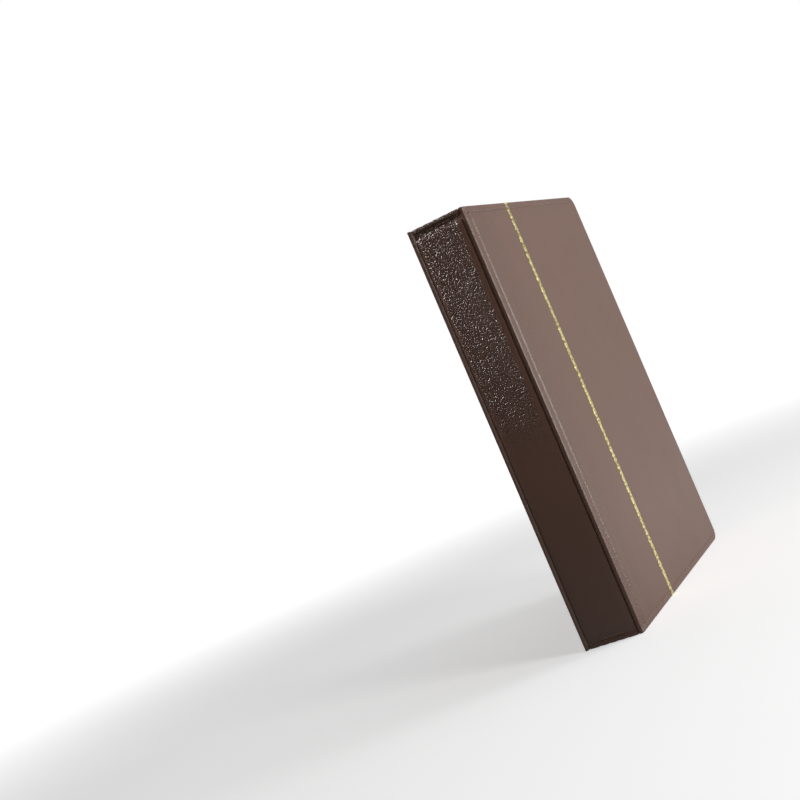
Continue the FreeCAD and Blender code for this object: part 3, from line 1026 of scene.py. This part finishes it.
@dataclass
class Cover(SkinnedPanel):
    """A cover, rounded and beaded beside the spine and very slightly uneven over its wadding."""

    wadding_step: float = 9.0 * MM
    wadding_round: float = 0.3
    swell_depth: float = 0.12 * MM
    swell_span: float = 45 * MM
    swell_from: float = 0.5 * MM
    swell_to: float = 6.0 * MM
    roll_width: float = 2.5 * MM
    bead_sunk: float = 0.35 * MM
    bead_sunk_run: float = 3.0 * MM
    bead_proud: float = 0.35 * MM
    bead_from: float = 6.2 * MM
    bead_top: float = 8.4 * MM
    bead_to: float = 22.0 * MM
    # The columns lie close together as far as the bead.
    bead_zone: float = 10.0 * MM
    bead_step: float = 0.25 * MM
    roll_steps: int = 12

    @classmethod
    def of(cls, panel: Panel) -> "Cover":
        """Sets out a cover from its CAD nodes.

        Args:
            panel: front or back.

        Returns:
            The cover.
        """
        frame_of = PanelFrame.of(panel)
        skin = frame_of.span(f"{panel.value}_skin")
        shape = PanelShape(
            width=skin.right,
            height=skin.high,
            thickness=skin.inner - skin.outer,
            left_round_width=OUTER_ROUND[panel][0],
            left_round_depth=OUTER_ROUND[panel][1],
            left_inner_round=INNER_ROUND[panel],
            right_round=1.2 * MM,
            end_round=1.2 * MM,
            left_end_round=1.4 * MM,
            right_corner=8.0 * MM,
        )
        hem = Hem.along(
            frame_of.span(f"{panel.value}_stitching"),
            trough_depth=0.35 * MM,
            rim_rise=0.05 * MM,
            run_in=5.0 * MM,
            eased_from=0.15 * skin.right,
            eased_to=0.4 * skin.right,
            eased_share=0.3,
            bottom_share=0.5,
        )
        return cls(panel, frame_of, shape, hem, column_step=0.75 * MM, board_corners=(0.0, 3.0 * MM))

    def columns(self) -> list[float]:
        """Columns of the outer face: close together over the rounded sides and the bead."""
        shape = self.shape
        left = round_over(shape.left_round_width, self.roll_steps)
        left += stops((left[-1], self.bead_zone, self.bead_step))[1:]
        right = [shape.width - d for d in reversed(round_over(shape.right_round, self.edge_steps))]
        return left + stops((left[-1], right[0], self.column_step))[1:-1] + right

    def relief(self, x: float, z: float) -> float:
        """Works out the extra depth of the outer face: the hem, the bead and the uneven wadding.

        Args:
            x: place across the cover.
            z: place up the cover.

        Returns:
            Depth below the plain face.
        """
        beside_roll = smooth_step(x, 0.0, self.roll_width)
        rise = smooth_step(x, self.bead_from, self.bead_top)
        fall = 1 - smooth_step(x, self.bead_top, self.bead_to)
        sunk = self.bead_sunk * smooth_step(x, 0.0, self.bead_sunk_run) * (1 - rise)
        bead = sunk - self.bead_proud * rise * fall
        nearest = min(self.shape.right_distance(x, z), self.end(z), x)
        inside = smooth_step(nearest, self.swell_from, self.swell_to)
        swell = self.swell_depth * noise.noise(self.frame.place(x, 0, z) / self.swell_span)
        return beside_roll * super().relief(x, z) + inside * (swell + bead)

    def build(self, palette: Palette) -> None:
        """Builds the cover's own pieces."""
        self.build_skin(palette.cover)
        self.build_wadding(palette.wadding)
        self.build_stitching(palette.thread)

    def build_wadding(self, material: Material) -> None:
        """Builds the pad between the skin and the board, thinner at its rim, in place of the CAD one.

        Args:
            material: finish of the pad.
        """
        span = self.frame.span(self.node("padding"))
        sheet = span.inner - span.outer
        rim = self.wadding_round * sheet
        size = (span.right - span.left, span.high - span.low, sheet)
        pad = PanelShape(*size, rim, rim, rim, rim, rim, rim, self.board_corners[1])
        shell = bmesh.new()
        borders = []
        for side in (0, 1):
            grid = []
            for z in stops((0.0, pad.height, self.wadding_step)):
                row = []
                for nominal in stops((0.0, pad.width, self.wadding_step)):
                    x = pad.across(nominal, z)
                    depth = pad.depth(x, z)
                    level = span.inner - depth if side else span.outer + depth
                    row.append(shell.verts.new(self.frame.place(span.left + x, level, span.low + z)))
                grid.append(row)
            quad_grid(shell, grid)
            borders.append(border_of(grid))
        ring_faces(shell, borders[0], borders[1])
        piece = self.finish_piece("wadding", shell, material, "wadding", "padding")


@dataclass
class Spine(SkinnedPanel):
    """The spine panel, whose sides run on into the hinge webs and whose grain stands in its mesh."""

    fades: tuple[Fade, ...] = ()
    pebble_span: float = 1.05 * MM
    pebble_depth: float = 0.45 * MM
    pebble_reach: float = 0.75
    grain_step: float = 0.23 * MM
    # The foot is the share of the height where the grain is all but flattened, so its rows lie wide
    # apart.
    foot_share: float = 0.34
    foot_step: float = 4.0 * MM

    @classmethod
    def of(cls) -> "Spine":
        """Sets out the spine from its CAD nodes."""
        frame_of = PanelFrame.of(Panel.SPINE)
        skin = frame_of.span("spine_skin")
        shape = PanelShape(
            width=skin.right,
            height=skin.high,
            thickness=skin.inner - skin.outer,
            end_round=1.4 * MM,
            left_end_round=1.4 * MM,
        )
        hem = Hem.along(
            frame_of.span("spine_stitching"),
            trough_depth=1.5 * MM,
            rim_rise=0.0,
            run_in=skin.right,
            eased_from=skin.right,
            eased_to=2 * skin.right,
            eased_share=1.0,
            bottom_share=0.5,
        )
        corners = (0.9 * MM, 0.9 * MM)
        return cls(Panel.SPINE, frame_of, shape, hem, cls.grain_step, corners, fades=spine_fades())

    def rows(self) -> list[float]:
        """Rows of the outer face: close together wherever the grain stands."""
        height = self.shape.height
        hem_end = self.hem.inset + self.hem.board_side
        ends = round_over(self.shape.end_round, self.edge_steps)
        spans = ((ends[-1], hem_end, self.hem_step), (hem_end, self.foot_share * height, self.foot_step))
        foot = ends + stops(*spans)[1:]
        grained = stops((foot[-1], height - ends[-1], self.grain_step))[1:-1]
        return foot + grained + [height - z for z in reversed(ends)]

    def grain(self, x: float, z: float) -> float:
        """Depth below the tops of the round pebbles."""
        place = self.frame.place(x, 0, z)
        strength = self.pebble_depth * math.prod(fade.share(place) for fade in self.fades)
        away = nearest_pebble(x / self.pebble_span, z / self.pebble_span)
        return strength * min(1.0, away / self.pebble_reach) ** 2

    def relief(self, x: float, z: float) -> float:
        """Extra depth of the outer face: the hem and the creases of the grain."""
        return super().relief(x, z) + self.grain(x, z)

    def build(self, palette: Palette) -> None:
        """Builds the spine's own pieces."""
        self.build_skin(palette.spine)
        self.build_stitching(palette.thread)


@dataclass
class HingeWeb:
    """The leatherette web in a hinge valley.

    It carries the spine's face on, dips towards a cover and ends just short of it.
    """

    spine: Spine
    panel: Panel
    level: float = 0.5 * MM
    front_dip: float = 0.3 * MM
    back_dip: float = 0.6 * MM
    clearance: float = 0.01 * MM
    sections: int = 13

    def build(self, palette: Palette) -> None:
        """Builds the web in place of the CAD strip.

        Args:
            palette: finishes of the album.
        """
        side = self.panel.value.split("_")[0]
        node = f"{side}_hinge_strip"
        strip = self.spine.frame.span(node)
        cover = self.spine.frame.span(f"{self.panel.value}_skin")
        if self.panel is Panel.FRONT:
            start, stop, deepest = self.spine.shape.width, cover.left - self.clearance, self.front_dip
        else:
            start, stop, deepest = 0.0, cover.right + self.clearance, self.back_dip
        places = [start + (stop - start) * i / self.sections for i in range(self.sections + 1)]
        reach = abs(stop - start)
        shell = bmesh.new()
        bands = []
        for z in self.spine.rows():
            rounding = self.spine.shape.depth(self.spine.shape.width / 2, z)
            band = []
            for x in places:
                dip = deepest * smooth_step(abs(x - start), self.level, reach)
                band.append((x, self.spine.surface(x, z) + dip))
            band += [(x, strip.inner - rounding) for x in reversed(places)]
            bands.append([shell.verts.new(self.spine.place(x, depth, z)) for x, depth in band])
        close_tube(shell, bands)
        new_piece(f"{side}_hinge_web", shell, palette.spine, Panel.SPINE.value, node)


@dataclass
class GoldLine:
    """The foil line pressed down the front cover, over both hems, beaded by the grain under it.

    The widest and narrowest places are shares of the CAD line's width.
    """

    cover: SkinnedPanel
    proud: float = 0.5 * MM
    flattest: float = 0.15
    sunk: float = 0.12 * MM
    widest: float = 2.1
    narrowest: float = 1.25
    end_margin: float = 0.2 * MM
    row_step: float = 0.45 * MM
    bead_span: float = 1.7 * MM
    bead_swing: float = 0.5
    sway: float = 0.2 * MM
    sway_span: float = 7.0 * MM
    columns: int = 8

    def build(self, palette: Palette) -> None:
        """Builds the line as a thin ribbon that follows the cover, in place of the CAD foil.

        Args:
            palette: finishes of the album.
        """
        node = "front_cover_gold_line"
        cover = self.cover
        span = cover.frame.span(node)
        middle = (span.left + span.right) / 2
        half_width = (span.right - span.left) / 2
        height = cover.shape.height
        rows = [z for z in cover.rows() if self.end_margin < z < height - self.end_margin]
        rows = stops(*((a, b, self.row_step) for a, b in zip(rows, rows[1:])))
        shares = [2 * i / self.columns - 1 for i in range(self.columns + 1)]
        shell = bmesh.new()
        bands = []
        for z in rows:
            up = Vector((0, 0, z))
            bead = smooth_step(noise.noise(up / self.bead_span), -self.bead_swing, self.bead_swing)
            reach = half_width * (self.narrowest + (self.widest - self.narrowest) * bead)
            crown = self.proud * (self.flattest + (1 - self.flattest) * bead)
            centre = middle + self.sway * noise.noise(up / self.sway_span)
            across = [centre + reach * share for share in shares]
            band = []
            for x, share in zip(across, shares):
                band.append((x, cover.surface(x, z) - crown * (1 - share**2)))
            band += [(x, cover.surface(x, z) + self.sunk) for x in reversed(across)]
            bands.append([shell.verts.new(cover.place(x, depth, z)) for x, depth in band])
        close_tube(shell, bands)
        new_piece("gold_line_foil", shell, palette.foil, Panel.FRONT.value, node)


@dataclass
class RingMechanism:
    """The nickel-plated mechanism on the spine."""

    nodes: tuple[str, ...] = (
        "ring_arch_plate",
        "ring_posts",
        "ring_rivets",
        "lever_pins",
        "front_toggle_plate",
        "back_toggle_plate",
        "front_half_rings",
        "back_half_rings",
        "top_lever",
        "bottom_lever",
    )

    def dress(self, palette: Palette) -> None:
        """Gives every piece its plating."""
        for node in self.nodes:
            dress(node, palette.nickel)


@dataclass
class StockLeaf:
    """One black leaf with its clear strips."""

    number: int

    def dress(self, palette: Palette) -> None:
        """Gives the card and the strips their finishes."""
        dress(f"leaf_{self.number}_card", palette.card)
        dress(f"leaf_{self.number}_strips", palette.film)


@dataclass(frozen=True)
class SoftBox:
    """One square soft light."""

    name: str
    place: tuple[float, float, float]
    aim: tuple[float, float, float]
    size: float
    watts: float
    spread_degrees: float = 180.0
    lights_floor: bool = True

    def build(self, floor: Object) -> None:
        """Hangs the light.

        Args:
            floor: the floor, left unlit where this light would draw a patch or a shadow on it.
        """
        data = bpy.data.lights.new(self.name, "AREA")
        data.size = self.size
        data.energy = self.watts
        data.spread = math.radians(self.spread_degrees)
        lamp = bpy.data.objects.new(self.name, data)
        turn = (Vector(self.aim) - Vector(self.place)).to_track_quat("-Z", "Y")
        lamp.matrix_world = Matrix.Translation(Vector(self.place)) @ turn.to_matrix().to_4x4()
        bpy.context.scene.collection.objects.link(lamp)
        if not self.lights_floor:
            unlit = bpy.data.collections.new(f"{self.name}_leaves_unlit")
            unlit.objects.link(floor)
            unlit.collection_objects[0].light_linking.link_state = "EXCLUDE"
            lamp.light_linking.receiver_collection = unlit


@dataclass
class Studio:
    """White room with a pale floor, soft lights and the photograph's camera.

    What the album mirrors, and the fill from the room, run from dark on the spine's side to bright on
    the other, over a stretch of the floor in metres and over a part of the sky.
    """

    camera_place: tuple[float, float, float] = (-0.8863, -0.3005, 0.1771)
    camera_forward: tuple[float, float, float] = (0.9018, 0.4319, 0.0118)
    camera_up: tuple[float, float, float] = (0.1598, -0.3586, 0.9197)
    lens_mm: float = 60.9
    sensor_mm: float = 36.0
    floor_radius: float = 6.0
    # The paper as other surfaces get its light back, and as it is seen.
    floor_bounce: str = "#cccccc"
    floor_seen: str = "#f2f2f2"
    # Near the album the floor's own glow is lower: this lets the real shadow show, and also paints a
    # soft shade round the album, rising to white between the near and far radii.
    near_glow: float = 0.49
    near_radius: float = 0.4
    far_radius: float = 1.3
    fill_level: float = 0.4
    side_levels: tuple[float, float] = (0.02, 0.52)
    floor_sides: tuple[float, float] = (-0.5, 0.4)
    sky_sides: tuple[float, float] = (-0.35, 0.6)
    lights: tuple[SoftBox, ...] = (
        SoftBox("overhead_box", (0.0, -0.55, 1.25), (0.0, 0.0, 0.1), 0.9, 3.0),
        SoftBox("main_box", (-0.6, -1.1, 0.5), (-0.05, 0.0, 0.16), 0.3, 5.2),
        SoftBox("side_box", (0.25, -1.1, 0.16), (-0.05, 0.0, 0.15), 0.4, 8.5),
        SoftBox("spine_box", (-0.29, 0.525, 0.655), (-0.116, 0.0, 0.225), 0.18, 0.15, 22.0, False),
        SoftBox("back_box", (0.35, 1.2, 0.6), (0.0, 0.0, 0.14), 0.6, 9.0, lights_floor=False),
    )

    def build(self) -> None:
        """Sets up the whole studio."""
        self.build_camera()
        floor = self.build_floor()
        self.build_world()
        for light in self.lights:
            light.build(floor)
        bpy.context.scene.view_settings.view_transform = "Standard"

    def build_camera(self) -> None:
        """Places the camera as in the photograph, rolled because the album leans there."""
        data = bpy.data.cameras.new("photo_camera")
        data.sensor_width = self.sensor_mm
        data.lens = self.lens_mm
        data.clip_start = 0.01
        forward = Vector(self.camera_forward).normalized()
        right = forward.cross(Vector(self.camera_up)).normalized()
        turn = Matrix((right, right.cross(forward), -forward)).transposed().to_4x4()
        camera = bpy.data.objects.new("photo_camera", data)
        camera.matrix_world = Matrix.Translation(Vector(self.camera_place)) @ turn
        bpy.context.scene.collection.objects.link(camera)
        bpy.context.scene.camera = camera

    def build_floor(self) -> Object:
        """Returns the floor, which takes the shadow and otherwise runs into the white background; its
        lower glow near the album paints a soft shade round it.
        """
        material, nodes = new_material("white_paper_sweep")
        path = add_node(nodes.tree, "ShaderNodeLightPath").outputs
        side = nodes.remap(nodes.along("X"), self.floor_sides, self.side_levels, "SMOOTHSTEP")
        mirrored = nodes.math("MULTIPLY", path["Is Glossy Ray"], side)
        straight = nodes.math("MAXIMUM", path["Is Camera Ray"], path["Is Transmission Ray"])
        # Painted shade: the glow is lowest near the album and rises to white farther off.
        away = add_node(nodes.tree, "ShaderNodeVectorMath", {0: nodes.place}, operation="LENGTH")
        reach = (self.near_radius, self.far_radius)
        level = nodes.remap(away.outputs["Value"], reach, (self.near_glow, 1.0), "SMOOTHSTEP")
        nodes.finish(
            {
                "Base Color": nodes.mix(straight, self.floor_bounce, self.floor_seen),
                "Roughness": 0.9,
                "Specular IOR Level": 0.0,
                "Emission Color": WHITE,
                "Emission Strength": nodes.math("MULTIPLY_ADD", straight, level, mirrored),
            }
        )
        disc = bmesh.new()
        bmesh.ops.create_circle(disc, cap_ends=True, segments=64, radius=self.floor_radius)
        mesh = bpy.data.meshes.new("floor")
        disc.to_mesh(mesh)
        disc.free()
        mesh.materials.append(material)
        floor = bpy.data.objects.new("floor", mesh)
        bpy.context.scene.collection.objects.link(floor)
        return floor

    def build_world(self) -> None:
        """White where it is seen; as a light, dim on the spine's side and bright on the other."""
        world = bpy.data.worlds.new("white_studio")
        world.use_nodes = True
        nodes = Shading(world.node_tree, "Generated")
        path = add_node(nodes.tree, "ShaderNodeLightPath").outputs
        room = nodes.remap(nodes.along("X"), self.sky_sides, self.side_levels, "SMOOTHSTEP")
        fill = nodes.math("MULTIPLY_ADD", path["Is Diffuse Ray"], self.fill_level, path["Is Glossy Ray"])
        straight = nodes.math("MAXIMUM", path["Is Camera Ray"], path["Is Transmission Ray"])
        level = nodes.math("MULTIPLY_ADD", fill, room, straight)
        light = add_node(nodes.tree, "ShaderNodeBackground", {"Color": WHITE, "Strength": level})
        add_node(nodes.tree, "ShaderNodeOutputWorld", {"Surface": light.outputs[0]})
        bpy.context.scene.world = world


def main() -> None:
    """Builds and dresses the album, then the studio."""
    logging.basicConfig(level=logging.INFO, format="%(name)s: %(message)s")
    palette = Palette()
    covers = [Cover.of(Panel.FRONT), Cover.of(Panel.BACK)]
    spine = Spine.of()
    for cover in covers:
        cover.build(palette)
        HingeWeb(spine, cover.panel).build(palette)
    spine.build(palette)
    GoldLine(covers[0]).build(palette)
    leaves = [StockLeaf(number) for number in range(1, LEAF_COUNT + 1)]
    for assembly in (*covers, spine, RingMechanism(), *leaves):
        assembly.dress(palette)
    Studio().build()


if __name__ == "__main__":
    main()
